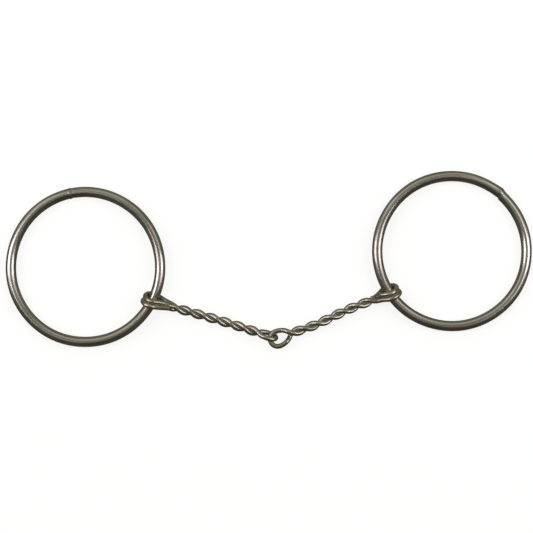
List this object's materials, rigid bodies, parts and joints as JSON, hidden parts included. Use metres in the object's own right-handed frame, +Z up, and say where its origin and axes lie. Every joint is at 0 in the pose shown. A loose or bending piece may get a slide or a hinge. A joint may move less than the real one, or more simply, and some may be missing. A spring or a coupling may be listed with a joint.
{
  "type": "snaffle bit",
  "caption": "Loose-ring snaffle bit: jointed mouthpiece of twisted wire, with a plain round ring running free in the wire eye at each end.",
  "frame": {"origin": "on the table, under the middle of the bit's box as it lies flat", "axes": "+X from the left ring to the right ring, +Y from the mouthpiece's centre joint towards the rings' far sides, +Z up from the table"},
  "size_m": [0.2634, 0.0888, 0.0111],
  "materials": {
    "ring_steel": "polished rod dulled by use",
    "wire_steel": "drawn wire, dark between the strands",
    "weld_steel": "rough weld filler"
  },
  "bodies": {
    "left_mouthpiece": {"left_mouthpiece_wire": "wire_steel", "left_neck_weld": "weld_steel"},
    "right_mouthpiece": {"right_mouthpiece_wire": "wire_steel", "right_neck_weld": "weld_steel"},
    "left_ring": {"left_ring": "ring_steel"},
    "right_ring": {"right_ring": "ring_steel"}
  },
  "joints": [
    {"name": "centre_fold", "type": "hinge", "parent": "left_mouthpiece", "child": "right_mouthpiece", "pos_m": [0.00361, -0.039, 0.00418], "axis": [0, 0, 1], "range_deg": [-139, 61]},
    {"name": "left_ring_swing", "type": "hinge", "parent": "left_mouthpiece", "child": "left_ring", "pos_m": [-0.05809, -0.02019, 0.00553], "axis": [0.4446, 0.8957, 0], "range_deg": [-100, 100]},
    {"name": "right_ring_swing", "type": "hinge", "parent": "right_mouthpiece", "child": "right_ring", "pos_m": [0.06044, -0.01632, 0.00553], "axis": [0.5534, -0.8329, 0], "range_deg": [-100, 100]}
  ]
}
